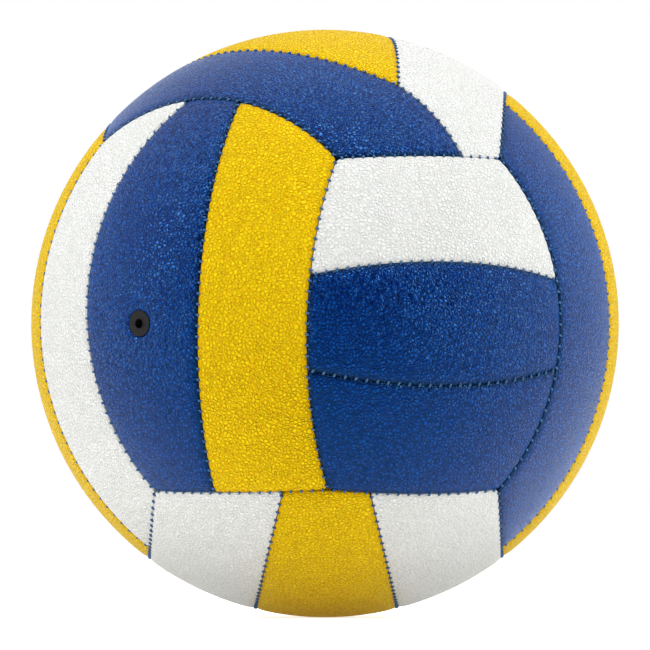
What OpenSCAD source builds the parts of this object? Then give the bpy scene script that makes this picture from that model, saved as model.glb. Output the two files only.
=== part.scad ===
// A stitched indoor volleyball. The ball's centre is the origin and +Z is up.
// Seen from the front, along +Y, the valve is on the left and the three short
// strips are on the right.

/* [Ball] */
// Radius over the crown of the panels
ball_r = 105; // [95:0.5:115]
// Thickness of a panel's leather
cover_t = 1.3; // [1:0.1:1.8]
// Thickness of the foam pad behind the leather
foam_t = 2.4; // [1.5:0.1:4]
// Thickness of the cloth lining
lining_t = 0.6; // [0.5:0.1:1]
// Thickness of the bladder's wall
bladder_t = 0.8; // [0.6:0.1:1.5]

/* [Seams] */
// Gap between the turned edges of two neighbouring panels
seam_gap = 0.3; // [0.2:0.05:0.5]
// Distance from the seam at which a panel starts to roll down
roll_w = 2.2; // [1.5:0.1:3]
// Depth that the gentle roll heads for at the seam
roll_depth = 0.65; // [0.4:0.05:0.9]
// Distance from the seam of the steep fold at a panel's edge
fold_w = 1.35; // [0.8:0.05:1.4]
// Depth that the fold reaches at the seam
fold_depth = 1.1; // [0.6:0.1:1.4]
// Diameter of the sewing thread
thread_d = 0.7; // [0.5:0.05:0.9]
// Length that a run of thread stops short of the next seam
thread_stop = 1.6; // [1.5:0.1:2.4]

/* [Valve] */
// Radius of the valve's face
valve_r = 4.6; // [4:0.1:6]
// Depth of the valve's face below the crown
valve_recess = 0.25; // [0.2:0.05:0.6]
// Radius of the mouth that takes the inflation needle
mouth_r = 1.75; // [1.5:0.05:2]
// Depth of the mouth
mouth_depth = 5; // [4:0.5:6]
// Width of the raised lip round the mouth
lip_w = 0.45; // [0.3:0.05:0.8]
// Height of the raised lip
lip_h = 0.12; // [0.1:0.01:0.2]
// Radius of the flange inside the bladder
flange_r = 13; // [10:0.5:16]
// Thickness of the flange
flange_t = 1.4; // [1:0.1:2]
// Radius of the barrel that holds the plug
barrel_r = 5.6; // [5:0.1:7]
// Radius of the plug
plug_r = 3.2; // [2.6:0.1:3.6]
// Length of the plug
plug_l = 8; // [6:0.5:10]
// Wall of rubber under the plug
barrel_floor = 2; // [1.5:0.1:3]
// Radius of the air hole under the plug
air_hole_r = 1.2; // [0.8:0.1:1.5]
// Width of the plug's slit
slit_w = 0.2; // [0.1:0.05:0.3]
// Length of the plug's slit across the plug
slit_l = 2.6; // [2:0.1:3]
// Depth of the dish in the plug's upper end
dish_depth = 1; // [0.5:0.1:1.5]
// Radius of the patch that backs the lining round the valve
patch_r = 18; // [15:0.5:22]
// Thickness of the patch
patch_t = 0.3; // [0.2:0.05:0.4]

/* [Hidden] */
$fn = 128;
// Clearance between two pieces that lie against each other
fit = 0.06;
// Overrun of every cut
over = 1;
// Turn of each groove's ring about its own axis, clear of the ball's meridian
ring_turn = 63;

cover_in_r = ball_r - cover_t;
foam_in_r = cover_in_r - fit - foam_t;
lining_r = foam_in_r - fit;
lining_in_r = lining_r - lining_t;
bladder_r = lining_in_r - fit;
bladder_in_r = bladder_r - bladder_t;

// Points on the ball of radius 1, from their place across and up in the front view
function front(s) = [s[0], -sqrt(1 - s[0] * s[0] - s[1] * s[1]), s[1]];
function back(s) = [s[0], sqrt(1 - s[0] * s[0] - s[1] * s[1]), s[1]];
function unit(v) = v / norm(v);

// Corners where three or more panels meet
low_left_share = front([-0.58, -0.57]);
low_right_share = front([0.59, -0.565]);
high_right_share = front([0.595, 0.56]);
arch_right_share = front([0.04, 0.56]);
arch_left_share = front([-0.755, 0.62]);
low_middle_share = front([0.01, -0.565]);
crest_bend_share = front([0.25, 0.81]);
back_low_left_share = back([-0.58, -0.57]);
back_low_right_share = back([0.59, -0.565]);
back_high_right_share = back([0.595, 0.56]);
back_high_left_share = back([-0.58, 0.57]);

// Each seam lies in the plane of three points: about where it starts, a point on it,
// and about where it ends. The two seams that it runs between come last.
seam_shares = [
    ["right_edge", high_right_share, front([0.80, 0]), low_right_share, "upper_edge", "lower_edge"],
    ["upper_edge", arch_right_share, front([0.325, 0.57]), high_right_share, "middle", "right_edge"],
    ["lower_edge", low_middle_share, front([0.29, -0.58]), low_right_share, "middle", "right_edge"],
    ["valve_foot", low_left_share, front([-0.29, -0.575]), low_middle_share, "valve_far", "middle"],
    ["middle", arch_right_share, front([-0.06, 0.03]), low_middle_share, "upper_edge", "lower_edge"],
    ["front_high", front([-0.05, 0.165]), front([0.355, 0.21]), front([0.78, 0.15]),
        "middle", "right_edge"],
    ["front_low", front([-0.045, -0.16]), front([0.39, -0.21]), front([0.785, -0.155]),
        "middle", "right_edge"],
    ["arch", arch_left_share, front([-0.40, 0.765]), arch_right_share, "left_top", "middle"],
    ["valve_near", front([-0.30, 0.73]), front([-0.43, 0.08]), front([-0.38, -0.555]),
        "arch", "valve_foot"],
    ["valve_far", front([-0.475, 0.75]), front([-0.81, 0.03]), low_left_share, "arch", "valve_foot"],
    ["left_near", arch_left_share, front([-0.97, -0.02]), front([-0.60, -0.765]), "left_top", "left_foot"],
    ["left_far", back([-0.70, 0.69]), back([-0.97, 0]), back([-0.60, -0.765]), "left_top", "left_foot"],
    ["left_top", arch_left_share, front([-0.74, 0.672]), back_high_left_share, "arch", "back_left"],
    ["left_foot", low_left_share, front([-0.60, -0.799]), back_low_left_share, "valve_far", "back_left"],
    ["right_foot", low_right_share, front([0.605, -0.796]), back_low_right_share,
        "right_edge", "back_right"],
    ["right_top", high_right_share, front([0.615, 0.788]), back_high_right_share,
        "right_edge", "back_right"],
    ["right_near", front([0.62, 0.745]), front([0.97, 0.01]), front([0.605, -0.765]),
        "right_top", "right_foot"],
    ["right_far", back([0.62, 0.745]), back([0.97, 0.01]), back([0.605, -0.765]),
        "right_top", "right_foot"],
    ["floor_left", front([-0.145, -0.575]), front([-0.235, -0.96]), back([-0.145, -0.575]),
        "valve_foot", "back_foot"],
    ["floor_right", front([0.155, -0.58]), front([0.245, -0.965]), back([0.155, -0.58]),
        "lower_edge", "back_foot"],
    ["back_top", back_high_left_share, back([0, 0.60]), back_high_right_share, "back_left", "back_right"],
    ["back_foot", back_low_left_share, back([0, -0.60]), back_low_right_share, "back_left", "back_right"],
    ["back_right", back_high_right_share, back([0.80, 0]), back_low_right_share, "back_top", "back_foot"],
    ["back_left", back_high_left_share, back([-0.80, 0]), back_low_left_share, "back_top", "back_foot"],
    ["back_high", back([-0.785, 0.155]), back([0, 0.245]), back([0.785, 0.155]), "back_left", "back_right"],
    ["back_low", back([-0.785, -0.155]), back([0, -0.245]), back([0.785, -0.155]),
        "back_left", "back_right"],
    ["crest_left", crest_bend_share, front([-0.44, 0.897]), back_high_left_share, "top_right", "back_top"],
    ["crest_right", crest_bend_share, front([0.36, 0.72]), front([0.465, 0.57]), "top_right", "upper_edge"],
    ["top_right", crest_bend_share, front([0.225, 0.974]), back([0.08, 0.595]), "crest_left", "back_top"],
    ["top_left", back([-0.50, 0.86]), back([-0.32, 0.80]), back([-0.19, 0.59]), "crest_left", "back_top"],
];

// Each panel is one or two cells: a point inside the cell, and the seams round it.
// A seam between two cells of one panel is listed last, as the cell's open side.
panel_shares = [
    ["front_upper", "white",
        [[front([0.35, 0.40]), ["upper_edge", "right_edge", "front_high", "middle"], ""]]],
    ["front_middle", "blue",
        [[front([0.38, 0]), ["front_high", "right_edge", "front_low", "middle"], ""]]],
    ["front_lower", "blue",
        [[front([0.35, -0.38]), ["front_low", "right_edge", "lower_edge", "middle"], ""]]],
    ["valve_right", "yellow",
        [[front([-0.2, 0]), ["arch", "middle", "valve_foot", "valve_near"], ""]]],
    ["valve_middle", "blue",
        [[front([-0.62, 0]), ["arch", "valve_near", "valve_foot", "valve_far"], ""]]],
    ["left_front", "white",
        [[front([-0.9, 0]), ["arch", "valve_far", "left_foot", "left_near"], ""]]],
    ["left_middle", "yellow",
        [[front([-0.99, 0]), ["left_top", "left_near", "left_foot", "left_far"], ""]]],
    ["left_rear", "white",
        [[back([-0.9, 0]), ["left_top", "left_far", "left_foot", "back_left"], ""]]],
    ["crest", "blue",
        [[front([-0.40, 0.85]),
            ["arch", "left_top", "crest_left", "upper_edge", "back_top"], "top_right"],
         [front([0.30, 0.68]), ["arch", "upper_edge", "crest_right"], "top_right"]]],
    ["top_middle", "yellow",
        [[back([0, 0.95]), ["crest_left", "top_right", "back_top", "top_left"], ""]]],
    ["top_right", "white",
        [[front([0.45, 0.80]),
            ["top_right", "crest_right", "upper_edge", "right_top", "back_top"], ""]]],
    ["top_left", "white",
        [[back([-0.40, 0.75]), ["crest_left", "top_left", "back_top"], ""]]],
    ["right_front", "blue",
        [[front([0.85, 0]), ["right_top", "right_near", "right_foot", "right_edge"], ""]]],
    ["right_middle", "yellow",
        [[front([0.99, 0]), ["right_top", "right_far", "right_foot", "right_near"], ""]]],
    ["right_rear", "blue",
        [[back([0.87, 0]), ["right_top", "right_far", "right_foot", "back_right"], ""]]],
    ["bottom_left", "white",
        [[front([-0.4, -0.85]), ["valve_foot", "floor_left", "back_foot", "left_foot"], ""]]],
    ["bottom_middle", "yellow",
        [[front([0, -0.95]),
            ["floor_left", "valve_foot", "floor_right", "lower_edge", "back_foot"], ""]]],
    ["bottom_right", "white",
        [[front([0.4, -0.85]), ["lower_edge", "right_foot", "back_foot", "floor_right"], ""]]],
    ["back_upper", "blue",
        [[back([0, 0.4]), ["back_top", "back_right", "back_high", "back_left"], ""]]],
    ["back_middle", "yellow",
        [[back([0, 0]), ["back_high", "back_right", "back_low", "back_left"], ""]]],
    ["back_lower", "blue",
        [[back([0, -0.4]), ["back_low", "back_right", "back_foot", "back_left"], ""]]],
];

// Direction of the valve's axis
valve_azimuth = -129;

COLOURS = [["white", [0.93, 0.93, 0.92]], ["blue", [0.08, 0.2, 0.55]], ["yellow", [0.96, 0.8, 0.05]]];

function row(table, name) = table[search([name], table)[0]];
function seam_normal(s) = unit(cross(s[2] - s[1], s[3] - s[1]));
// The seam's axis, turned to the side that holds the point
function axis_towards(s, point) =
    let (n = seam_normal(s), d = n * s[1])
    n * point > d ? n : -n;
// Angle in degrees that a length spans at the ball's surface
function span(length) = length / ball_r * 180 / PI;
function polar(r, angle) = [r * sin(angle), r * cos(angle)];

// Turns +Z to the given axis
module along(axis) {
    rotate([0, acos(axis[2]), atan2(axis[1], axis[0])]) children();
}

// All that lies on one side of a seam's plane, from the given distance on
module side_of(seam_name, point, inset) {
    s = row(seam_shares, seam_name);
    axis = axis_towards(s, point);
    along(axis)
        translate([-2 * ball_r, -2 * ball_r, axis * s[1] * ball_r + inset])
            cube([4 * ball_r, 4 * ball_r, 4 * ball_r]);
}

// The section of a groove: its sharp bottom, on the seam's plane, and its two upper
// corners, above the ball's surface
function groove_section(s, width, depth) =
    let (axis = seam_normal(s), cone = acos(axis * s[1]), at = axis * s[1] * ball_r,
         low_r = ball_r - depth, top = span(width * (depth + over) / depth))
    [[sqrt(low_r * low_r - at * at), at], polar(ball_r + over, cone + top), polar(ball_r + over, cone - top)];

// The ring that cuts the panels down along a seam
module groove(seam_name, width, depth) {
    s = row(seam_shares, seam_name);
    along(seam_normal(s))
        rotate(ring_turn)
        rotate_extrude()
            polygon(groove_section(s, width, depth));
}

module shell(outer_r, inner_r) {
    difference() {
        sphere(outer_r);
        sphere(inner_r);
    }
}

// The piece of a ball that lies over one cell of a panel
module cell_wedge(cell, outer_r, inset) {
    intersection() {
        sphere(outer_r);
        intersection_for (seam = cell[1]) side_of(seam, cell[0], inset);
        if (cell[2] != "") side_of(cell[2], cell[0], 0);
    }
}

// The same piece with its edges rolled down, then folded down, at the last seams
// of its list, from the given one on
module rolled_wedge(cell, first = 0) {
    if (first == len(cell[1])) cell_wedge(cell, ball_r, seam_gap / 2);
    else
        difference() {
            rolled_wedge(cell, first + 1);
            groove(cell[1][first], roll_w, roll_depth);
        }
}

module folded_wedge(cell, first = 0) {
    if (first == len(cell[1])) rolled_wedge(cell);
    else
        difference() {
            folded_wedge(cell, first + 1);
            groove(cell[1][first], fold_w, fold_depth);
        }
}

// The piece of a shell that a panel covers
module panel_block(panel, outer_r, inner_r, inset) {
    difference() {
        for (cell = panel[2]) cell_wedge(cell, outer_r, inset);
        sphere(inner_r);
    }
}

module valve_hole(r) {
    valve_axis() cylinder(r = r, h = ball_r + over);
}

module valve_axis() {
    rotate([0, 90, valve_azimuth]) children();
}

// A leather panel with its edges turned down to be sewn
module cover(name) {
    panel = row(panel_shares, name);
    color(row(COLOURS, panel[1])[1])
    difference() {
        for (cell = panel[2]) folded_wedge(cell);
        sphere(foam_in_r);
        for (cell = panel[2]) cell_wedge(cell, cover_in_r, seam_gap / 2 + cover_t);
        if (name == "valve_middle") valve_hole(valve_r + fit);
    }
}

// The foam pad that lies in the hollow of a panel
module pad(name) {
    panel = row(panel_shares, name);
    color([0.85, 0.85, 0.8])
    difference() {
        panel_block(panel, cover_in_r - fit, foam_in_r, seam_gap / 2 + cover_t + fit);
        if (name == "valve_middle") valve_hole(valve_r + fit);
    }
}

// The cloth bag that the panels are backed with
module cloth_lining() {
    color([0.75, 0.75, 0.72])
    difference() {
        shell(lining_r, lining_in_r);
        valve_hole(valve_r + fit);
        intersection() {
            sphere(lining_in_r + patch_t + fit);
            valve_hole(patch_r + fit);
        }
    }
}

// The ring that backs the lining round the valve
module valve_patch() {
    color([0.55, 0.55, 0.55])
    difference() {
        intersection() {
            shell(lining_in_r + patch_t, lining_in_r);
            valve_hole(patch_r);
        }
        valve_hole(valve_r + fit);
    }
}

module bladder() {
    color([0.12, 0.12, 0.12])
    difference() {
        shell(bladder_r, bladder_in_r);
        valve_hole(valve_r + fit);
    }
}

valve_top = ball_r - valve_recess;
mouth_top = valve_top + lip_h;
plug_top = mouth_top - mouth_depth;
barrel_bottom = plug_top - plug_l - fit - barrel_floor;

// The moulded rubber valve: face, stem, flange inside the bladder and barrel
module valve_body() {
    color([0.2, 0.2, 0.2])
    valve_axis()
    difference() {
        union() {
            intersection() {
                shell(bladder_in_r - fit, bladder_in_r - fit - flange_t);
                cylinder(r = flange_r, h = ball_r);
            }
            translate([0, 0, barrel_bottom])
                cylinder(r = barrel_r, h = bladder_in_r - flange_t - barrel_bottom);
            translate([0, 0, bladder_in_r - flange_t - over])
                cylinder(r = valve_r, h = valve_top - bladder_in_r + flange_t + over);
            translate([0, 0, valve_top - over])
                cylinder(r = mouth_r + lip_w, h = over + lip_h);
        }
        translate([0, 0, plug_top]) cylinder(r = mouth_r, h = mouth_depth + over);
        translate([0, 0, plug_top - plug_l - fit])
            cylinder(r = plug_r + fit, h = plug_l + 2 * fit);
        translate([0, 0, barrel_bottom - over]) cylinder(r = air_hole_r, h = 2 * over + barrel_floor);
    }
}

// The soft plug whose slit closes behind the needle
module valve_plug() {
    color([0.3, 0.3, 0.3])
    valve_axis()
    translate([0, 0, plug_top - plug_l])
    difference() {
        cylinder(r = plug_r, h = plug_l);
        translate([0, 0, plug_l - dish_depth])
            cylinder(r1 = 0, r2 = mouth_r * (dish_depth + over) / dish_depth, h = dish_depth + over);
        translate([-slit_l / 2, -slit_w / 2, -over])
            cube([slit_l, slit_w, plug_l + 2 * over]);
    }
}

function turned_back(axis, p) =
    let (az = atan2(axis[1], axis[0]), el = acos(axis[2]),
         q = [p[0] * cos(az) + p[1] * sin(az), p[1] * cos(az) - p[0] * sin(az), p[2]])
    [q[0] * cos(el) - q[2] * sin(el), q[1], q[2] * cos(el) + q[0] * sin(el)];
function bearing(axis, p) = let (q = turned_back(axis, p)) atan2(q[1], q[0]);
function wrapped(angle) = angle < 0 ? angle + 360 : angle >= 360 ? angle - 360 : angle;

// Where two seams cross, on the ball of radius 1, next to a point
function crossing(seam_a, seam_b, near) =
    let (a = row(seam_shares, seam_a), b = row(seam_shares, seam_b),
         na = seam_normal(a), nb = seam_normal(b), da = na * a[1], db = nb * b[1], c = na * nb,
         foot = ((da - db * c) * na + (db - da * c) * nb) / (1 - c * c),
         reach = sqrt(1 - foot * foot) * unit(cross(na, nb)))
    norm(foot + reach - near) < norm(foot - reach - near) ? foot + reach : foot - reach;

// Where the middle of a thread lies when it rests in a groove, clear of both sides
function seat(section) =
    let (one = unit(section[1] - section[0]), other = unit(section[2] - section[0]),
         middle = unit(one + other), half = acos(one * middle))
    section[0] + middle * (thread_d / 2 + fit) / sin(half);

// The turn round a seam's axis that keeps a run clear of the seam that it meets at a
// point, and more where the two meet at a slant
function clear_turn(axis, other_name, at) =
    let (other_axis = seam_normal(row(seam_shares, other_name)),
         slant = norm(cross(unit(cross(axis, at)), unit(cross(other_axis, at)))))
    span(thread_stop) / slant / sin(acos(axis * at));

// One run of thread, in the groove of one seam
module thread_run(seam_name) {
    s = row(seam_shares, seam_name);
    axis = seam_normal(s);
    first = crossing(seam_name, s[4], s[1]);
    last = crossing(seam_name, s[5], s[3]);
    from = bearing(axis, first);
    via = wrapped(bearing(axis, s[2]) - from);
    to = wrapped(bearing(axis, last) - from);
    clear_first = clear_turn(axis, s[4], first);
    clear_last = clear_turn(axis, s[5], last);
    start = via < to ? from + clear_first : from + to - 360 + clear_last;
    sweep = (via < to ? to : 360 - to) - clear_first - clear_last;
    along(axis)
        rotate_extrude(start = start, angle = sweep)
            translate(seat(groove_section(s, fold_w, fold_depth))) circle(d = thread_d, $fn = 24);
}

// The thread of a group of seams, one run for each
module seam_thread(seam_names) {
    color([0.1, 0.2, 0.5])
        for (name = seam_names) thread_run(name);
}

cover("front_upper");  // cover_front_upper
cover("front_middle");  // cover_front_middle
cover("front_lower");  // cover_front_lower
cover("valve_right");  // cover_valve_right
cover("valve_middle");  // cover_valve_middle
cover("left_front");  // cover_left_front
cover("left_middle");  // cover_left_middle
cover("left_rear");  // cover_left_rear
cover("crest");  // cover_crest
cover("top_middle");  // cover_top_middle
cover("top_right");  // cover_top_right
cover("top_left");  // cover_top_left
cover("right_front");  // cover_right_front
cover("right_middle");  // cover_right_middle
cover("right_rear");  // cover_right_rear
cover("bottom_left");  // cover_bottom_left
cover("bottom_middle");  // cover_bottom_middle
cover("bottom_right");  // cover_bottom_right
cover("back_upper");  // cover_back_upper
cover("back_middle");  // cover_back_middle
cover("back_lower");  // cover_back_lower
pad("front_upper");  // pad_front_upper
pad("front_middle");  // pad_front_middle
pad("front_lower");  // pad_front_lower
pad("valve_right");  // pad_valve_right
pad("valve_middle");  // pad_valve_middle
pad("left_front");  // pad_left_front
pad("left_middle");  // pad_left_middle
pad("left_rear");  // pad_left_rear
pad("crest");  // pad_crest
pad("top_middle");  // pad_top_middle
pad("top_right");  // pad_top_right
pad("top_left");  // pad_top_left
pad("right_front");  // pad_right_front
pad("right_middle");  // pad_right_middle
pad("right_rear");  // pad_right_rear
pad("bottom_left");  // pad_bottom_left
pad("bottom_middle");  // pad_bottom_middle
pad("bottom_right");  // pad_bottom_right
pad("back_upper");  // pad_back_upper
pad("back_middle");  // pad_back_middle
pad("back_lower");  // pad_back_lower
seam_thread(["right_edge", "upper_edge", "lower_edge", "middle", "front_high", "front_low"]);  // thread_front
seam_thread(["valve_foot", "arch", "valve_near", "valve_far"]);  // thread_valve_side
seam_thread(["left_near", "left_far", "left_top", "left_foot"]);  // thread_left
seam_thread(["right_near", "right_far", "right_top", "right_foot"]);  // thread_right
seam_thread(["crest_left", "crest_right", "top_right", "top_left"]);  // thread_top
seam_thread(["floor_left", "floor_right"]);  // thread_bottom
seam_thread(["back_top", "back_foot", "back_right", "back_left", "back_high", "back_low"]);  // thread_back
cloth_lining();
valve_patch();
bladder();
valve_body();
valve_plug();
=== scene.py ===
# The looks of a stitched indoor volleyball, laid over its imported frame. The ball's
# centre is the origin, +Z is up and the photograph looks along +Y.
import math

import bmesh
import bpy
import numpy as np
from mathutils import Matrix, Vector
from mathutils.geometry import delaunay_2d_cdt


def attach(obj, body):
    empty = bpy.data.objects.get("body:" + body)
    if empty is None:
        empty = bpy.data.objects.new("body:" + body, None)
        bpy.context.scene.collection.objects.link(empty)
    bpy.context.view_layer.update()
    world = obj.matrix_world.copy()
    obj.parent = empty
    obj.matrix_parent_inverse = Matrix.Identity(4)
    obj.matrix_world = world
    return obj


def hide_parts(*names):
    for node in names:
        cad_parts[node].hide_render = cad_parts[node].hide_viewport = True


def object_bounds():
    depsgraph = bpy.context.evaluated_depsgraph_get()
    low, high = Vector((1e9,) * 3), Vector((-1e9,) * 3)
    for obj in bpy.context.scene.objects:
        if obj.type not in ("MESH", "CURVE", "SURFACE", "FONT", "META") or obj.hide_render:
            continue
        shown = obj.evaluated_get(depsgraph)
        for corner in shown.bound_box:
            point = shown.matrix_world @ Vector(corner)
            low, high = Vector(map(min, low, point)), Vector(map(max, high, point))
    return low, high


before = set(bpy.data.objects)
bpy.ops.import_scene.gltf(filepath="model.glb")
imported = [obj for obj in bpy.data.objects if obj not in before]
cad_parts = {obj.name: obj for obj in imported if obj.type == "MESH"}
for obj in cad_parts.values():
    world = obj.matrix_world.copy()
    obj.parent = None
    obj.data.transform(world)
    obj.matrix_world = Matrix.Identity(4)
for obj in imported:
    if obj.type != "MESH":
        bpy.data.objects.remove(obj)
cad_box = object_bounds()

# Lengths are in metres
MM = 0.001

# The ball's radius over the crown of its panels, and the thickness of their leather and foam
BALL_R = min(abs(value) for corner in cad_box for value in corner)
COVER_T = 1.3 * MM
FOAM_T = 2.4 * MM

# Edges of the panels: the gap on each side of a seam, how deep a steep fold and a gentle roll
# take the leather there and over what distance from the seam, and how round the corners are
SEAM_GAP = 0.12 * MM
FOLD_DEPTH = 0.5 * MM
FOLD_REACH = 0.5 * MM
ROLL_DEPTH = 0.32 * MM
ROLL_REACH = 2.4 * MM
CORNER_ROUND = 0.7 * MM

# Hole for the valve: its turn round +Z from +X, its place on the ball of radius 1, its radius,
# how deep the leather dips towards it and over what distance, and its rows of points
VALVE_TURN = math.radians(-129)
VALVE_SHARE = np.array((math.cos(VALVE_TURN), math.sin(VALVE_TURN), 0))
HOLE_R = 4.72 * MM
HOLE_DIP = 0.6 * MM
HOLE_REACH = 0.5 * MM
HOLE_INSETS = [0, 0.2 * MM, 0.45 * MM, 0.9 * MM, 1.7 * MM]
HOLE_POINTS = 96

# Stitches across the seams: how far apart they are, their size and slant, how their ends sink
# and get thinner, and how they draw the leather in
STITCH_PITCH = 3.9 * MM
MIN_STITCHES = 2
STITCH_R = 0.42 * MM
STITCH_HALF = 0.55 * MM
STITCH_SLANT = 0.35
STITCH_SINK = 1.1 * STITCH_HALF
SINK_POWER = 4
STITCH_TAPER = 0.35
TAPER_POWER = 6
STITCH_RINGS = 9
PUCKER_DEPTH = 0.16 * MM
PUCKER_REACH = 1.3 * MM

# The thread in the groove below the stitches
RUN_R = 0.22 * MM
RUN_DEPTH = 1.5 * MM
RUN_STOP = 1.6 * MM
RUN_STEP = 1 * MM
THREAD_SIDES = 8

# Points of the panels' meshes: rows at these distances from the edge, then even points
SKIN_INSETS = [SEAM_GAP, 0.3 * MM, 0.5 * MM, 0.75 * MM, 1.05 * MM, 1.45 * MM, 2.0 * MM,
               2.8 * MM, 4.0 * MM]
SKIN_SPACING = 0.6 * MM
INNER_SPACING = 1.8 * MM
LINING_SPACING = 5 * MM
MIN_SIDE_POINTS = 6
# Rows on the turned edge, as shares of the way down to the panel's back
WALL_SHARES = [0.25, 0.6, 1]
# A row settles on its distance in these rounds, and is evened out in the first of them
RING_ROUNDS = 40
EVEN_ROUNDS = 30
RING_STEP = 1.0 * MM
# How steeply a side gives way past the seam that releases it
RELEASE_RATE = 4
# A direction that no panel's middle lies in, which turns the flat layout of its points
LAYOUT_SHARE = (0.3, 0.5, 0.8)
# The reach within which two points of that layout count as one
MERGE_REACH = 1e-9
# The kind of layout that has triangles only inside its outline
INSIDE_ONLY = 1


def unit(vectors):
    """One vector, or each of a row of them, brought to a length of 1."""
    return vectors / np.linalg.norm(vectors, axis=-1, keepdims=True)


def front(x, z):
    """A point on the front half of the ball of radius 1, from its place in the front view."""
    return np.array((x, -math.sqrt(1 - x * x - z * z), z))


def back(x, z):
    """The point straight behind that one, on the back half."""
    return front(x, z) * (1, -1, 1)


# Corners where three or more panels meet
LOW_LEFT_SHARE = front(-0.58, -0.57)
LOW_RIGHT_SHARE = front(0.59, -0.565)
HIGH_RIGHT_SHARE = front(0.595, 0.56)
ARCH_RIGHT_SHARE = front(0.04, 0.56)
ARCH_LEFT_SHARE = front(-0.755, 0.62)
LOW_MIDDLE_SHARE = front(0.01, -0.565)
CREST_BEND_SHARE = front(0.25, 0.81)
BACK_LOW_LEFT_SHARE = back(-0.58, -0.57)
BACK_LOW_RIGHT_SHARE = back(0.59, -0.565)
BACK_HIGH_RIGHT_SHARE = back(0.595, 0.56)
BACK_HIGH_LEFT_SHARE = back(-0.58, 0.57)

# Each seam lies in the plane of three points: about where it starts, a point on it,
# and about where it ends. The two seams that it runs between come last.
SEAM_SHARES = {
    "right_edge": (HIGH_RIGHT_SHARE, front(0.80, 0), LOW_RIGHT_SHARE,
                   "upper_edge", "lower_edge"),
    "upper_edge": (ARCH_RIGHT_SHARE, front(0.325, 0.57), HIGH_RIGHT_SHARE,
                   "middle", "right_edge"),
    "lower_edge": (LOW_MIDDLE_SHARE, front(0.29, -0.58), LOW_RIGHT_SHARE,
                   "middle", "right_edge"),
    "valve_foot": (LOW_LEFT_SHARE, front(-0.29, -0.575), LOW_MIDDLE_SHARE,
                   "valve_far", "middle"),
    "middle": (ARCH_RIGHT_SHARE, front(-0.06, 0.03), LOW_MIDDLE_SHARE,
               "upper_edge", "lower_edge"),
    "front_high": (front(-0.05, 0.165), front(0.355, 0.21), front(0.78, 0.15),
                   "middle", "right_edge"),
    "front_low": (front(-0.045, -0.16), front(0.39, -0.21), front(0.785, -0.155),
                  "middle", "right_edge"),
    "arch": (ARCH_LEFT_SHARE, front(-0.40, 0.765), ARCH_RIGHT_SHARE,
             "left_top", "middle"),
    "valve_near": (front(-0.30, 0.73), front(-0.43, 0.08), front(-0.38, -0.555),
                   "arch", "valve_foot"),
    "valve_far": (front(-0.475, 0.75), front(-0.81, 0.03), LOW_LEFT_SHARE,
                  "arch", "valve_foot"),
    "left_near": (ARCH_LEFT_SHARE, front(-0.97, -0.02), front(-0.60, -0.765),
                  "left_top", "left_foot"),
    "left_far": (back(-0.70, 0.69), back(-0.97, 0), back(-0.60, -0.765),
                 "left_top", "left_foot"),
    "left_top": (ARCH_LEFT_SHARE, front(-0.74, 0.672), BACK_HIGH_LEFT_SHARE,
                 "arch", "back_left"),
    "left_foot": (LOW_LEFT_SHARE, front(-0.60, -0.799), BACK_LOW_LEFT_SHARE,
                  "valve_far", "back_left"),
    "right_foot": (LOW_RIGHT_SHARE, front(0.605, -0.796), BACK_LOW_RIGHT_SHARE,
                   "right_edge", "back_right"),
    "right_top": (HIGH_RIGHT_SHARE, front(0.615, 0.788), BACK_HIGH_RIGHT_SHARE,
                  "right_edge", "back_right"),
    "right_near": (front(0.62, 0.745), front(0.97, 0.01), front(0.605, -0.765),
                   "right_top", "right_foot"),
    "right_far": (back(0.62, 0.745), back(0.97, 0.01), back(0.605, -0.765),
                  "right_top", "right_foot"),
    "floor_left": (front(-0.145, -0.575), front(-0.235, -0.96), back(-0.145, -0.575),
                   "valve_foot", "back_foot"),
    "floor_right": (front(0.155, -0.58), front(0.245, -0.965), back(0.155, -0.58),
                    "lower_edge", "back_foot"),
    "back_top": (BACK_HIGH_LEFT_SHARE, back(0, 0.60), BACK_HIGH_RIGHT_SHARE,
                 "back_left", "back_right"),
    "back_foot": (BACK_LOW_LEFT_SHARE, back(0, -0.60), BACK_LOW_RIGHT_SHARE,
                  "back_left", "back_right"),
    "back_right": (BACK_HIGH_RIGHT_SHARE, back(0.80, 0), BACK_LOW_RIGHT_SHARE,
                   "back_top", "back_foot"),
    "back_left": (BACK_HIGH_LEFT_SHARE, back(-0.80, 0), BACK_LOW_LEFT_SHARE,
                  "back_top", "back_foot"),
    "back_high": (back(-0.785, 0.155), back(0, 0.245), back(0.785, 0.155),
                  "back_left", "back_right"),
    "back_low": (back(-0.785, -0.155), back(0, -0.245), back(0.785, -0.155),
                 "back_left", "back_right"),
    "crest_left": (CREST_BEND_SHARE, front(-0.44, 0.897), BACK_HIGH_LEFT_SHARE,
                   "top_right", "back_top"),
    "crest_right": (CREST_BEND_SHARE, front(0.36, 0.72), front(0.465, 0.57),
                    "top_right", "upper_edge"),
    "top_right": (CREST_BEND_SHARE, front(0.225, 0.974), back(0.08, 0.595),
                  "crest_left", "back_top"),
    "top_left": (back(-0.50, 0.86), back(-0.32, 0.80), back(-0.19, 0.59),
                 "crest_left", "back_top"),
}

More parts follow.
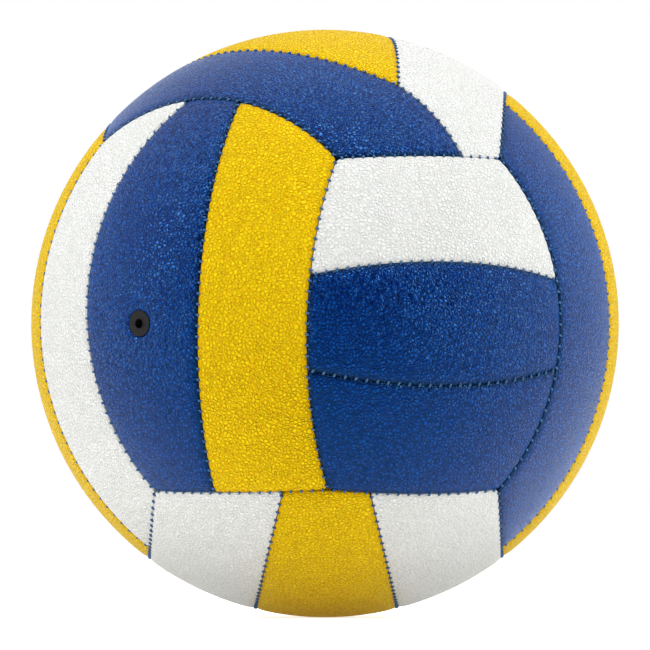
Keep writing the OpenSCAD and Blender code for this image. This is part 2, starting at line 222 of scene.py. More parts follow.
# Each panel: its colour, a point inside it, and the seams round it in order
PANEL_SHARES = {
    "front_upper": ("white", front(0.35, 0.40),
                    ["upper_edge", "right_edge", "front_high", "middle"]),
    "front_middle": ("blue", front(0.38, 0),
                     ["front_high", "right_edge", "front_low", "middle"]),
    "front_lower": ("blue", front(0.35, -0.38),
                    ["front_low", "right_edge", "lower_edge", "middle"]),
    "valve_right": ("yellow", front(-0.2, 0),
                    ["arch", "middle", "valve_foot", "valve_near"]),
    "valve_middle": ("blue", front(-0.62, 0),
                     ["arch", "valve_near", "valve_foot", "valve_far"]),
    "left_front": ("white", front(-0.9, 0),
                   ["arch", "valve_far", "left_foot", "left_near"]),
    "left_middle": ("yellow", front(-0.99, 0),
                    ["left_top", "left_near", "left_foot", "left_far"]),
    "left_rear": ("white", back(-0.9, 0),
                  ["left_top", "left_far", "left_foot", "back_left"]),
    "crest": ("blue", front(0, 0.72),
              ["arch", "upper_edge", "crest_right", "crest_left", "left_top"]),
    "top_middle": ("yellow", back(0, 0.95),
                   ["crest_left", "top_right", "back_top", "top_left"]),
    "top_right": ("white", front(0.45, 0.80),
                  ["top_right", "crest_right", "upper_edge", "right_top", "back_top"]),
    "top_left": ("white", back(-0.40, 0.75),
                 ["crest_left", "top_left", "back_top"]),
    "right_front": ("blue", front(0.85, 0),
                    ["right_top", "right_near", "right_foot", "right_edge"]),
    "right_middle": ("yellow", front(0.99, 0),
                     ["right_top", "right_far", "right_foot", "right_near"]),
    "right_rear": ("blue", back(0.87, 0),
                   ["right_top", "right_far", "right_foot", "back_right"]),
    "bottom_left": ("white", front(-0.4, -0.85),
                    ["valve_foot", "floor_left", "back_foot", "left_foot"]),
    "bottom_middle": ("yellow", front(0, -0.95),
                      ["valve_foot", "lower_edge", "floor_right", "back_foot", "floor_left"]),
    "bottom_right": ("white", front(0.4, -0.85),
                     ["lower_edge", "right_foot", "back_foot", "floor_right"]),
    "back_upper": ("blue", back(0, 0.4),
                   ["back_top", "back_right", "back_high", "back_left"]),
    "back_middle": ("yellow", back(0, 0),
                    ["back_high", "back_right", "back_low", "back_left"]),
    "back_lower": ("blue", back(0, -0.4),
                   ["back_low", "back_right", "back_foot", "back_left"]),
}
# A panel, a seam of it, and the other seam past which that one no longer bounds the panel
RELEASED_BY = {("crest", "crest_right"): "top_right"}

# The seams whose threads make up one piece
THREAD_SEAMS = {
    "front": ["right_edge", "upper_edge", "lower_edge", "middle", "front_high", "front_low"],
    "valve_side": ["valve_foot", "arch", "valve_near", "valve_far"],
    "left": ["left_near", "left_far", "left_top", "left_foot"],
    "right": ["right_near", "right_far", "right_top", "right_foot"],
    "top": ["crest_left", "crest_right", "top_right", "top_left"],
    "bottom": ["floor_left", "floor_right"],
    "back": ["back_top", "back_foot", "back_right", "back_left", "back_high", "back_low"],
}


def crossing(axis_a, height_a, axis_b, height_b, near):
    """Where two circles of the ball of radius 1 cross, next to a point."""
    cosine = axis_a @ axis_b
    part_a = (height_a - height_b * cosine) * axis_a
    part_b = (height_b - height_a * cosine) * axis_b
    foot = (part_a + part_b) / (1 - cosine * cosine)
    reach = math.sqrt(max(0, 1 - foot @ foot)) * unit(np.cross(axis_a, axis_b))
    return min((foot + reach, foot - reach), key=lambda p: np.linalg.norm(p - near))


def meeting(seam_a, seam_b):
    """Where two seams meet: of their circles' crossings, the one next to an end of either seam."""
    found = []
    for near in (seam_a.start, seam_a.end, seam_b.start, seam_b.end):
        place = crossing(seam_a.axis, seam_a.height, seam_b.axis, seam_b.height, near)
        found.append((np.linalg.norm(place - near), place))
    return min(found, key=lambda pair: pair[0])[1]


def wrapped(turn):
    """A turn in radians, brought to within half a turn of zero."""
    return (turn + math.pi) % (2 * math.pi) - math.pi


class Seam:
    """The circle that a seam follows on the ball of radius 1."""

    def __init__(self, start, via, end, first, last):
        self.start, self.via, self.end = start, via, end
        self.first, self.last = first, last
        # The circle's axis, its plane's height along it, and its angle from it
        self.axis = unit(np.cross(via - start, end - start))
        self.height = float(self.axis @ via)
        self.cone = math.acos(self.height)
        self.across = unit(start - self.height * self.axis)
        self.onward = np.cross(self.axis, self.across)

    def bearing(self, points):
        """The turn of points round the axis."""
        return np.arctan2(points @ self.onward, points @ self.across)

    def at(self, bearing, cone):
        """The point at a bearing round the axis and an angle from it."""
        ring = np.multiply.outer(np.cos(bearing), self.across)
        ring = ring + np.multiply.outer(np.sin(bearing), self.onward)
        return math.cos(cone) * self.axis + math.sin(cone) * ring

    def settle(self, seams):
        """Finds the seam's run between the two seams that it meets, and its stitches."""
        ends = []
        for other_name, near in ((self.first, self.start), (self.last, self.end)):
            other = seams[other_name]
            ends.append(crossing(self.axis, self.height, other.axis, other.height, near))
        via = wrapped(self.bearing(self.via))
        self.from_turn = via + wrapped(self.bearing(ends[0]) - via)
        self.to_turn = via + wrapped(self.bearing(ends[1]) - via)
        self.length = abs(self.to_turn - self.from_turn) * math.sin(self.cone) * BALL_R
        self.stitches = max(MIN_STITCHES, round(self.length / STITCH_PITCH))

    def pitch_turn(self):
        """The turn from one stitch to the next, which is negative on some seams."""
        return (self.to_turn - self.from_turn) / self.stitches

    def pucker(self, points):
        """How strongly the nearest stitch draws each point in, from 0 to 1."""
        pitch = self.pitch_turn()
        along = wrapped(self.bearing(points) - self.from_turn - pitch / 2) / pitch
        return 0.5 + 0.5 * np.cos(2 * math.pi * along)


SEAMS = {name: Seam(*share) for name, share in SEAM_SHARES.items()}
for seam in SEAMS.values():
    seam.settle(SEAMS)


class Side:
    """One side of a panel: a seam seen from inside the panel."""

    def __init__(self, seam_name, inside, released_by=None):
        self.seam = SEAMS[seam_name]
        self.turn = 1 if self.seam.axis @ inside > self.seam.height else -1
        self.release = Side(released_by, inside) if released_by else None

    def distance(self, points):
        """How far points lie inside the seam, along the ball's surface."""
        angle = np.arccos(np.clip(points @ self.seam.axis, -1, 1))
        far = self.turn * (self.seam.cone - angle) * BALL_R
        if self.release:
            far += RELEASE_RATE * np.maximum(0, self.release.distance(points))
        return far

    def inward(self, points):
        """The direction along the surface that leads away from the seam."""
        axis = self.seam.axis
        ahead = unit(self.turn * (axis - np.multiply.outer(points @ axis, axis)))
        if self.release:
            past = self.release.distance(points) > 0
            ahead += RELEASE_RATE * past[:, None] * self.release.inward(points)
        return ahead

    def cone(self, inset):
        """The seam's angle from its axis, with the seam moved into the panel."""
        return self.seam.cone - self.turn * inset / BALL_R


def hole_distance(points):
    """How far points lie outside the hole for the valve."""
    return np.arccos(np.clip(points @ VALVE_SHARE, -1, 1)) * BALL_R - HOLE_R


class Panel:
    """One leather panel, bounded by the seams round it."""

    def __init__(self, name, inside, seam_names):
        self.inside = inside
        self.holed = name == "valve_middle"
        self.sides = []
        for seam_name in seam_names:
            self.sides.append(Side(seam_name, inside, RELEASED_BY.get((name, seam_name))))
        next_sides = self.sides[1:] + self.sides[:1]
        self.corners = [meeting(a.seam, b.seam) for a, b in zip(self.sides, next_sides)]
        # What the rounding of a corner takes off the sides that meet there
        self.trims = []
        for corner, a, b in zip(self.corners, self.sides, next_sides):
            cosine = float(a.inward(corner[None])[0] @ b.inward(corner[None])[0])
            slope = math.sqrt((1 - cosine) / (1 + cosine))
            self.trims.append(CORNER_ROUND * math.log(2) * slope)

    def edge_distance(self, points):
        """Distance to the panel's edge with its corners rounded, and the direction inwards."""
        # A soft minimum of the distances to the sides
        near = np.array([side.distance(points) for side in self.sides]) / -CORNER_ROUND
        inward = np.array([side.inward(points) for side in self.sides])
        top = near.max(axis=0)
        weight = np.exp(near - top)
        total = weight.sum(axis=0)
        distance = -(top + np.log(total)) * CORNER_ROUND
        return distance, (weight[..., None] * inward).sum(axis=0) / total[..., None]

    def corner(self, i, inset):
        """The corner between side i and the next one, with both moved in."""
        a, b = self.sides[i], self.sides[(i + 1) % len(self.sides)]
        heights = math.cos(a.cone(inset)), math.cos(b.cone(inset))
        return crossing(a.seam.axis, heights[0], b.seam.axis, heights[1], self.corners[i])

    def ring(self, inset, counts):
        """A closed row of points at one distance from the panel's edge."""
        rows = []
        for i, side in enumerate(self.sides):
            start, end = self.corner(i - 1, inset), self.corner(i, inset)
            first = side.seam.bearing(start)
            sweep = wrapped(side.seam.bearing(end) - first)
            reach = abs(sweep) * math.sin(side.cone(inset)) * BALL_R
            shares = (np.arange(counts[i]) + 0.5) / counts[i]
            run = self.trims[i - 1] + shares * (reach - self.trims[i - 1] - self.trims[i])
            rows.append(side.seam.at(first + sweep * run / reach, side.cone(inset)))
        points = np.concatenate(rows)
        for done in range(RING_ROUNDS):
            # Each point moves halfway to the middle of its two neighbours, then to its distance
            if done < EVEN_ROUNDS:
                points = unit(2 * points + np.roll(points, 1, axis=0) + np.roll(points, -1, axis=0))
            distance, inward = self.edge_distance(points)
            steepness = np.linalg.norm(inward, axis=1)
            step = np.clip((inset - distance) / steepness, -RING_STEP, RING_STEP) / BALL_R
            points = unit(points + (step / steepness)[:, None] * inward)
        return points

    def counts(self, spacing):
        """How many points each side takes."""
        made = []
        for i, side in enumerate(self.sides):
            start, end = self.corner(i - 1, 0), self.corner(i, 0)
            sweep = abs(wrapped(side.seam.bearing(end) - side.seam.bearing(start)))
            reach = sweep * math.sin(side.seam.cone) * BALL_R
            made.append(max(MIN_SIDE_POINTS, round(reach / spacing)))
        return made

    def depth(self, points):
        """How deep the leather's surface lies below the crown of the ball."""
        distance, _ = self.edge_distance(points)
        depth = FOLD_DEPTH * np.exp(-distance / FOLD_REACH)
        depth += ROLL_DEPTH * np.exp(-(distance / ROLL_REACH) ** 2)
        for side in self.sides:
            near = np.exp(-(side.distance(points) / PUCKER_REACH) ** 2)
            depth += PUCKER_DEPTH * near * side.seam.pucker(points)
        if self.holed:
            depth += HOLE_DIP * np.exp(-np.maximum(0, hole_distance(points)) / HOLE_REACH)
        return depth

    def surface(self, points):
        """Points of the ball of radius 1, moved to the leather's surface."""
        return points * (BALL_R - self.depth(points))[:, None]

    def clear(self, points, room):
        """Which points lie inside the panel with room to its edges."""
        distance, _ = self.edge_distance(points)
        if self.holed:
            distance = np.minimum(distance, hole_distance(points) - HOLE_INSETS[-1] + room / 2)
        return distance > room


def even_points(spacing):
    """Points spread evenly over the ball of radius 1."""
    # Each point has its share of a grid of even triangles, a golden angle on from the last one
    count = round(4 * math.pi * (BALL_R / spacing) ** 2 / math.sin(math.radians(60)))
    i = np.arange(count)
    z = 1 - (2 * i + 1) / count
    turn = i * math.pi * (3 - math.sqrt(5))
    flat = np.sqrt(1 - z * z)
    return np.stack((flat * np.cos(turn), flat * np.sin(turn), z), axis=1)


def circle(centre, radius):
    """A ring of points round a place on the ball."""
    aside = unit(np.cross(centre, (0, 0, 1)))
    up = np.cross(aside, centre)
    turns = 2 * math.pi * np.arange(HOLE_POINTS) / HOLE_POINTS
    ring = np.multiply.outer(np.cos(turns), aside) + np.multiply.outer(np.sin(turns), up)
    return math.cos(radius / BALL_R) * centre + math.sin(radius / BALL_R) * ring


def filled(loop, hole, inner, centre):
    """Triangles between a loop and a hole, over the points inside.

    All are points of the ball of radius 1, laid out flat as seen from the place opposite the centre.
    """
    points = np.concatenate((loop, hole, inner))
    aside = unit(np.cross(centre, LAYOUT_SHARE))
    up = np.cross(centre, aside)
    scale = 1 + points @ centre
    flat = [Vector((x, y)) for x, y in zip((points @ aside) / scale, (points @ up) / scale)]
    edges = [(i, (i + 1) % len(loop)) for i in range(len(loop))]
    edges += [(len(loop) + i, len(loop) + (i + 1) % len(hole)) for i in range(len(hole))]
    _, _, found, origins, *_ = delaunay_2d_cdt(flat, edges, [], INSIDE_ONLY, MERGE_REACH)
    faces = [[origins[i][0] for i in face] for face in found]
    # A triangle with all its corners on the hole would close it
    first, last = len(loop), len(loop) + len(hole) - 1
    return [face for face in faces if not all(first <= i <= last for i in face)]


class Shape:
    """Points and faces that grow row by row."""

    def __init__(self):
        self.points, self.faces, self.size = [], [], 0

    def add(self, points):
        """Adds points and returns the number of the first one."""
        self.points.append(points)
        self.size += len(points)
        return self.size - len(points)

    def strips(self, rings):
        """Adds closed rows of equal length, joined one to the next, and returns where each starts."""
        starts = [self.add(ring) for ring in rings]
        count = len(rings[0])
        for low, high in zip(starts, starts[1:]):
            for i in range(count):
                j = (i + 1) % count
                self.faces.append((low + i, low + j, high + j, high + i))
        return starts

    def fill(self, loop, loop_start, hole, hole_start, inner, radii, centre):
        """Adds the points inside a loop, at their distances from the centre, and triangles over them."""
        inner_start = self.add(inner * radii[:, None])
        numbers = list(range(loop_start, loop_start + len(loop)))
        numbers += range(hole_start, hole_start + len(hole))
        numbers += range(inner_start, inner_start + len(inner))
        for face in filled(loop, hole, inner, centre):
            self.faces.append([numbers[i] for i in face])


def panel_mesh(panel):
    """The panel as a closed tray: a crowned skin with turned edges, and a hollow behind it."""
    shape = Shape()
    ceiling_r = BALL_R - COVER_T
    back_r = ceiling_r - FOAM_T
    counts = panel.counts(SKIN_SPACING)
    skin = [panel.ring(inset, counts) for inset in SKIN_INSETS]
    turned = panel.ring(SEAM_GAP + COVER_T, counts)
    edge_r = BALL_R - panel.depth(skin[0])
    rows = [panel.surface(ring) for ring in skin[::-1]]
    rows += [skin[0] * (edge_r + (back_r - edge_r) * share)[:, None] for share in WALL_SHARES]
    rows += [turned * back_r, turned * ceiling_r]
    starts = shape.strips(rows)
    # The hole for the valve runs from the skin to the hollow
    hole, hole_starts = [np.zeros((0, 3))], [0, 0]
    if panel.holed:
        hole = [circle(VALVE_SHARE, HOLE_R + inset) for inset in HOLE_INSETS]
        rows = [panel.surface(ring) for ring in hole[::-1]]
        rows.append(hole[0] * ceiling_r)
        hole_starts = shape.strips(rows)
    skin_points = even_points(INNER_SPACING)
    skin_points = skin_points[panel.clear(skin_points, SKIN_INSETS[-1] + INNER_SPACING / 2)]
    shape.fill(skin[-1], starts[0], hole[-1], hole_starts[0], skin_points,
               BALL_R - panel.depth(skin_points), panel.inside)
    lining_points = even_points(LINING_SPACING)
    lining_points = lining_points[panel.clear(lining_points, SEAM_GAP + COVER_T + LINING_SPACING / 2)]
    shape.fill(turned, starts[-1], hole[0], hole_starts[-1], lining_points,
               np.full(len(lining_points), ceiling_r), panel.inside)
    return np.concatenate(shape.points), shape.faces


def mesh_object(name, points, faces):
    """A smooth-shaded object of points and faces, without the points that no face uses."""
    mesh = bpy.data.meshes.new(name)
    mesh.from_pydata([tuple(p) for p in points], [], [tuple(f) for f in faces])
    work = bmesh.new()
    work.from_mesh(mesh)
    bmesh.ops.delete(work, geom=[v for v in work.verts if not v.link_faces], context="VERTS")
    bmesh.ops.recalc_face_normals(work, faces=work.faces)
    work.to_mesh(mesh)
    work.free()
    mesh.polygons.foreach_set("use_smooth", [True] * len(mesh.polygons))
    made = bpy.data.objects.new(name, mesh)
    bpy.context.collection.objects.link(made)
    return made


def mark_edges(mesh, panel):
    """Stores how far each vertex lies from the panel's edge, for the shade painted along the leather's
    edge.
    """
    places = np.zeros(3 * len(mesh.vertices))
    mesh.vertices.foreach_get("co", places)
    distance, _ = panel.edge_distance(unit(places.reshape(-1, 3)))
    mesh.attributes.new("edge_mm", "FLOAT", "POINT").data.foreach_set("value", distance / MM)


def tube(path, radii, ups):
    """A round tube along a path, with flat ends, as points and faces.

    Each place of the path has its radius, and the direction that is up there.
    """
    path = np.asarray(path)
    ahead = unit(np.gradient(path, axis=0))
    sides = unit(np.cross(ahead, ups))
    overs = np.cross(sides, ahead)
    turns = 2 * math.pi * np.arange(THREAD_SIDES) / THREAD_SIDES
    rings = []
    for place, side, over, radius in zip(path, sides, overs, radii):
        ring = np.multiply.outer(np.cos(turns), side) + np.multiply.outer(np.sin(turns), over)
        rings.append(place + radius * ring)
    points = np.concatenate(rings)
    faces = []
    for low in range(0, len(points) - THREAD_SIDES, THREAD_SIDES):
        high = low + THREAD_SIDES
        for i in range(THREAD_SIDES):
            j = (i + 1) % THREAD_SIDES
            faces.append((low + i, low + j, high + j, high + i))
    faces.append(tuple(range(THREAD_SIDES)))
    faces.append(tuple(len(points) - THREAD_SIDES + i for i in range(THREAD_SIDES)))
    return points, faces


def joined(parts):
    """Several tubes as one list of points and one of faces."""
    points, faces, start = [], [], 0
    for part_points, part_faces in parts:
        points.append(part_points)
        faces += [[i + start for i in face] for face in part_faces]
        start += len(part_points)
    return np.concatenate(points), faces


def stitch(seam, turn):
    """One stitch: thread that rises from one panel, crosses the seam and dives into the other."""
    place = seam.at(turn, seam.cone)
    across = unit(seam.axis - (seam.axis @ place) * place)
    along = np.cross(across, place)
    path, radii = [], []
    # The ends sink into the leather and get thinner
    for share in np.linspace(-1, 1, STITCH_RINGS):
        sink = STITCH_SINK * abs(share) ** SINK_POWER
        path.append(place * (BALL_R - STITCH_R - sink) + across * STITCH_HALF * share
                    + along * STITCH_HALF * STITCH_SLANT * share)
        radii.append(STITCH_R * (1 - STITCH_TAPER * share ** TAPER_POWER))
    return tube(path, radii, np.array([place] * len(path)))


def thread_object(name, seam_names):
    """The stitches of a group of seams, and the thread that joins them in the grooves."""
    parts = []
    for seam_name in seam_names:
        seam = SEAMS[seam_name]
        step = seam.pitch_turn()
        for i in range(seam.stitches):
            parts.append(stitch(seam, seam.from_turn + (i + 0.5) * step))
        stop = RUN_STOP / BALL_R / math.sin(seam.cone) * math.copysign(1, step)
        turns = np.linspace(seam.from_turn + stop, seam.to_turn - stop, round(seam.length / RUN_STEP))
        path = seam.at(turns, seam.cone)
        parts.append(tube(path * (BALL_R - RUN_DEPTH), [RUN_R] * len(path), path))
    return mesh_object("stitches_" + name, *joined(parts))


# Sockets of the Mix node that take two colours, and the one that gives their mixture
MIX_LOW = 6
MIX_HIGH = 7
MIX_RESULT = 2


class Shading:
    """Adds nodes to a material or a world, and links them."""

    def __init__(self, owner):
        owner.use_nodes = True
        self.tree = owner.node_tree

    def set(self, node, inputs):
        """Sets a node's inputs: a value is written, and another node's output is linked."""
        for name, value in inputs.items():
            if isinstance(value, bpy.types.NodeSocket):
                self.tree.links.new(value, node.inputs[name])
            else:
                node.inputs[name].default_value = value
        return node

    def add(self, kind, inputs, **settings):
        """Adds a node of a kind with its settings and inputs."""
        node = self.tree.nodes.new("ShaderNode" + kind)
        for name, value in settings.items():
            setattr(node, name, value)
        return self.set(node, inputs)

    def multiply_add(self, value, factor, addend):
        """A value times a factor, plus an addend."""
        inputs = {0: value, 1: factor, 2: addend}
        return self.add("Math", inputs, operation="MULTIPLY_ADD").outputs[0]

    def share(self, value, low, high):
        """How far a value has come from low to high, from 0 to 1."""
        return self.add("MapRange", {"Value": value, "From Min": low, "From Max": high}).outputs[0]

    def between(self, share, low, high):
        """A colour that runs from low to high with a share from 0 to 1."""
        mix = self.add("Mix", {"Factor": share}, data_type="RGBA")
        for socket, colour in ((MIX_LOW, low), (MIX_HIGH, high)):
            linked = isinstance(colour, bpy.types.NodeSocket)
            self.set(mix, {socket: colour if linked else (*colour, 1)})
        return mix.outputs[MIX_RESULT]

    def noise(self, place, rate, detail, output="Fac"):
        """A noise that repeats at a rate, in repeats for each metre."""
        return self.add("TexNoise", {"Vector": place, "Scale": rate, "Detail": detail}).outputs[output]

    def bump(self, height, relief):
        """A surface's direction, with a height from 0 to 1 that stands for a relief in metres."""
        return self.add("Bump", {"Strength": 1, "Distance": relief, "Height": height}).outputs[0]


def new_material(name):
    """A material, what adds nodes to it, and its shader."""
    material = bpy.data.materials.new(name)
    shading = Shading(material)
    return material, shading, shading.tree.nodes["Principled BSDF"]


# Leather: a grain's size, how far noise bends it, and the share that its slope to a crease takes
GRAIN = 1.3 * MM
GRAIN_BEND = 1 * MM
SLOPE_SHARE = 0.3
# The rates and details of its noises, and what they add to the height of a grain
BEND_RATE = 0.8 / GRAIN
FINE_RATE = 1.5 / GRAIN
BROAD_RATE = 0.3 / GRAIN
FINE_DETAIL = 2
BROAD_DETAIL = 3
FINE_HEIGHT = 0.4
BROAD_HEIGHT = 0.8
# How much the fine noise counts in the colour, and where the creases' painted shade gives way to the
# grain's own colour, and that to the crests' painted highlight
FINE_TINT = 1.6
CREASE_SHADE_RANGE = (0.7, 1.25)
PAINTED_HIGHLIGHT_RANGE = (1.5, 1.85)
# How far from the panel's edge the shade painted along it gives way to the leather's own colour
EDGE_SHADE_RANGE_MM = (0.3, 2)
# How much rougher the leather's low places are than its glossy ones, and where that changes
MATT = 0.12
GLOSS_RANGE = (0.4, 0.6)
SHEEN_ROUGHNESS = 0.4
SHEEN_TINT = (0, 0.25, 1, 1)


def leather(name, base, painted_crease_shade, painted_highlight, painted_edge_shade, glint, relief, roughness, specular, sheen):
    """Pebbled leather: uneven grains parted by thin creases, with a finer grain on them.

    The first four colours are a grain's own, the painted shade in its creases, the painted highlight on
    its crests and the painted shade along the panel's edge, and glint is the colour of the gloss.
    """
    material, shading, shader = new_material(name)
    # Each panel shows another part of the hide
    shift = shading.add("ObjectInfo", {}).outputs["Random"]
    place = shading.add("TexCoord", {}).outputs["Object"]
    place = shading.add("VectorMath", {0: place, 1: shift}, operation="ADD").outputs[0]
    bend = shading.noise(place, BEND_RATE, BROAD_DETAIL, "Color")
    bending = {0: bend, 1: (GRAIN_BEND,) * 3, 2: place}
    bent = shading.add("VectorMath", bending, operation="MULTIPLY_ADD").outputs[0]
    grains = {"Vector": bent, "Scale": 1 / GRAIN}
    edge = shading.add("TexVoronoi", grains, feature="DISTANCE_TO_EDGE").outputs["Distance"]
    grain = shading.share(edge, 0, SLOPE_SHARE)
    fine = shading.noise(place, FINE_RATE, FINE_DETAIL)
    broad = shading.noise(place, BROAD_RATE, BROAD_DETAIL)
    height = shading.multiply_add(fine, FINE_HEIGHT, grain)
    height = shading.multiply_add(broad, BROAD_HEIGHT, height)
    # Painted shade darkens the creases where the grain is low, and not everywhere
    deep = shading.multiply_add(fine, FINE_TINT, grain)
    tint = shading.between(shading.share(deep, *CREASE_SHADE_RANGE), painted_crease_shade, base)
    # A painted highlight lightens the crests where the grain stands highest
    tint = shading.between(shading.share(deep, *PAINTED_HIGHLIGHT_RANGE), tint, painted_highlight)
    # Painted shade along the panel's edge, darkest next to the seam
    edge_mm = shading.add("Attribute", {}, attribute_name="edge_mm").outputs["Fac"]
    tint = shading.between(shading.share(edge_mm, *EDGE_SHADE_RANGE_MM), painted_edge_shade, tint)
    matt = shading.multiply_add(shading.share(fine, *GLOSS_RANGE), -MATT, roughness + MATT)
    shading.set(shader, {
        "Base Color": tint,
        "Roughness": matt,
        "Normal": shading.bump(height, relief),
        "Specular IOR Level": specular,
        "Specular Tint": (*glint, 1),
        "Sheen Weight": sheen,
        "Sheen Roughness": SHEEN_ROUGHNESS,
        "Sheen Tint": SHEEN_TINT,
    })
    return material


# Plain finishes: how dark their mottling gets, where it starts and ends, and its relief
MOTTLE = 0.7
MOTTLE_RANGE = (0.3, 0.7)
MOTTLE_DETAIL = 4
MOTTLE_RELIEF = 0.125
PLAIN_SPECULAR = 0.2


def plain(name, base, roughness, grain_size):
    """A fine-grained matt finish for rubber, foam, cloth and thread."""
    material, shading, shader = new_material(name)
    place = shading.add("TexCoord", {}).outputs["Object"]
    grain = shading.noise(place, 1 / grain_size, MOTTLE_DETAIL)
    dark = [MOTTLE * value for value in base]
    shading.set(shader, {
        "Base Color": shading.between(shading.share(grain, *MOTTLE_RANGE), dark, base),
        "Roughness": roughness,
        "Normal": shading.bump(grain, MOTTLE_RELIEF * grain_size),
        "Specular IOR Level": PLAIN_SPECULAR,
    })
    return material


# Each leather's creases and the edges of its panels get painted shade, and its crests a painted
# highlight
LEATHERS = {
    "white": leather(
        "leather_white", base=(0.77, 0.78, 0.76), painted_crease_shade=(0.62, 0.62, 0.60),
        painted_highlight=(0.80, 0.81, 0.79), painted_edge_shade=(0.72, 0.72, 0.70), glint=(1, 1, 1),
        relief=0.4 * MM, roughness=0.5, specular=0.2, sheen=0),
    "blue": leather(
        "leather_blue", base=(0.001, 0.012, 0.115), painted_crease_shade=(0.001, 0.002, 0.02),
        painted_highlight=(0.002, 0.05, 0.25), painted_edge_shade=(0.001, 0.003, 0.02), glint=(0.05, 0.4, 1),
        relief=0.17 * MM, roughness=0.08, specular=0.55, sheen=0.5),
    "yellow": leather(
        "leather_yellow", base=(0.84, 0.57, 0.001), painted_crease_shade=(0.62, 0.32, 0.001),
        painted_highlight=(0.90, 0.66, 0.004), painted_edge_shade=(0.72, 0.42, 0.001), glint=(1, 0.7, 0.1),
        relief=0.55 * MM, roughness=0.5, specular=0.2, sheen=0),
}
THREAD = plain("thread", base=(0.05, 0.14, 0.3), roughness=0.25, grain_size=0.4 * MM)
NODE_FINISH = {
    "cloth_lining": plain("lining", base=(0.70, 0.70, 0.66), roughness=0.9, grain_size=0.6 * MM),
    "valve_patch": plain("patch", base=(0.30, 0.30, 0.30), roughness=0.8, grain_size=0.8 * MM),
    "bladder": plain("bladder", base=(0.03, 0.03, 0.03), roughness=0.5, grain_size=2.5 * MM),
    "valve_body": plain("valve_rubber", base=(0.008, 0.007, 0.007), roughness=0.6, grain_size=0.6 * MM),
    "valve_plug": plain("plug_rubber", base=(0.05, 0.05, 0.05), roughness=0.6, grain_size=0.6 * MM),
}
FOAM = plain("foam", base=(0.80, 0.80, 0.74), roughness=0.9, grain_size=1 * MM)


def finish_piece(piece, node, material):
    """Gives a piece its material, and puts it in the place of a solid."""
    piece.data.materials.append(material)
    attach(piece, "root")
    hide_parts(node)


for name, (colour, inside, seam_names) in PANEL_SHARES.items():
    panel = Panel(name, inside, seam_names)
    piece = mesh_object("panel_" + name, *panel_mesh(panel))
    mark_edges(piece.data, panel)
    finish_piece(piece, "cover_" + name, LEATHERS[colour])
for name, seam_names in THREAD_SEAMS.items():
    finish_piece(thread_object(name, seam_names), "thread_" + name, THREAD)

# The solids that stay as they are, in their own finishes
for name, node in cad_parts.items():
    finish = FOAM if name.startswith("pad_") else NODE_FINISH.get(name)
    if finish:
        node.data.materials.clear()
        node.data.materials.append(finish)

# Camera: a long lens in front of the ball, framed as the photograph
IMAGE_PX = 650
OUTLINE_R_PX = 293.8
CENTRE_X_PX = 325.0
CENTRE_Y_PX = 323.5
# Metres in a pixel, the camera's distance, and the nearest and farthest that it sees
PX = BALL_R / OUTLINE_R_PX
CAMERA_AWAY = 10.0
CLIP_NEAR = 1
CLIP_FAR = 60
# Half the view's width at one metre, at which the outline has its radius in pixels
half_view = math.tan(math.asin(BALL_R / CAMERA_AWAY)) * IMAGE_PX / 2 / OUTLINE_R_PX
camera_data = bpy.data.cameras.new("camera")
camera_data.lens = camera_data.sensor_width / 2 / half_view
camera_data.clip_start = CLIP_NEAR
camera_data.clip_end = CLIP_FAR
camera = bpy.data.objects.new("camera", camera_data)
camera.location = ((IMAGE_PX / 2 - CENTRE_X_PX) * PX, -CAMERA_AWAY, (CENTRE_Y_PX - IMAGE_PX / 2) * PX)
camera.rotation_euler = (math.pi / 2, 0, 0)
bpy.context.collection.objects.link(camera)
bpy.context.scene.camera = camera

# Floor: how far it reaches, its colour, and its glow as the camera and as the ball see it
FLOOR_REACH = 6.0
FLOOR_COLOUR = (0.85, 0.85, 0.85, 1)
FLOOR_ROUGHNESS = 0.9
FLOOR_GLOW = 0.7
FLOOR_BOUNCE = 0.28
WHITE = (1, 1, 1, 1)


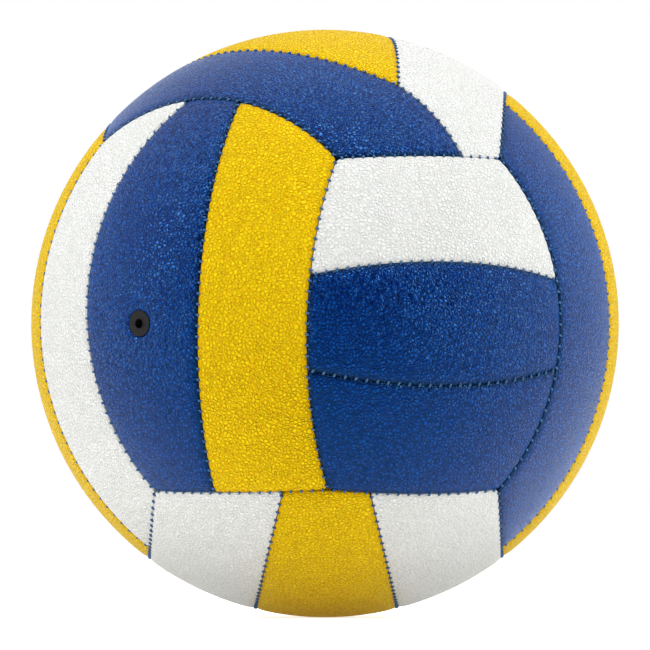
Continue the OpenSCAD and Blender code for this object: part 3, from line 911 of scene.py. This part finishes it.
def floor_material():
    """A pale floor that the camera sees as white, with the ball's shadow kept on it."""
    material, shading, shader = new_material("floor")
    seen = shading.add("LightPath", {}).outputs["Is Camera Ray"]
    shading.set(shader, {
        "Base Color": FLOOR_COLOUR,
        "Roughness": FLOOR_ROUGHNESS,
        "Specular IOR Level": 0,
        "Emission Color": WHITE,
        "Emission Strength": shading.multiply_add(seen, FLOOR_GLOW - FLOOR_BOUNCE, FLOOR_BOUNCE),
    })
    return material


corner_signs = ((-1, -1), (1, -1), (1, 1), (-1, 1))
corners = np.array([(x * FLOOR_REACH, y * FLOOR_REACH, -BALL_R) for x, y in corner_signs])
floor = mesh_object("floor", corners, [(0, 1, 2, 3)])
floor.data.materials.append(floor_material())

# The studio's strength on the camera's side and behind the ball, and where it changes along Y
STUDIO_FRONT = 0.05
STUDIO_BACK = 0.8
STUDIO_RANGE = (-0.4, 0.5)


def studio_world():
    """Light from all round, bright behind the ball, which the camera sees as white."""
    world = bpy.data.worlds.new("studio")
    shading = Shading(world)
    direction = shading.add("TexCoord", {}).outputs["Generated"]
    ahead = shading.add("SeparateXYZ", {0: direction}).outputs["Y"]
    behind = shading.share(ahead, *STUDIO_RANGE)
    strength = shading.multiply_add(behind, STUDIO_BACK - STUDIO_FRONT, STUDIO_FRONT)
    seen = shading.add("LightPath", {}).outputs["Is Camera Ray"]
    strength = shading.add("Math", {0: strength, 1: seen}, operation="MAXIMUM").outputs[0]
    shading.set(shading.tree.nodes["Background"], {"Color": WHITE, "Strength": strength})
    return world


bpy.context.scene.world = studio_world()

# Soft lamps: their place and size in metres, and their power in watts
LAMPS = {
    "left_light": ((-1.4, -0.5, 0.7), (0.55, 0.9), 14.2),
    "right_light": ((1.45, -0.35, 0.7), (0.55, 0.9), 15.6),
    "top_light": ((0, -0.45, 1.5), (0.9, 0.55), 19),
}


def area_light(name, place, size, power):
    """A soft lamp that faces the ball."""
    data = bpy.data.lights.new(name, "AREA")
    data.shape = "RECTANGLE"
    data.size, data.size_y = size
    data.energy = power
    lamp = bpy.data.objects.new(name, data)
    lamp.location = place
    lamp.rotation_euler = (-Vector(place)).to_track_quat("-Z", "Y").to_euler()
    bpy.context.collection.objects.link(lamp)


for name, (place, size, power) in LAMPS.items():
    area_light(name, place, size, power)

bpy.context.scene.view_settings.view_transform = "Standard"
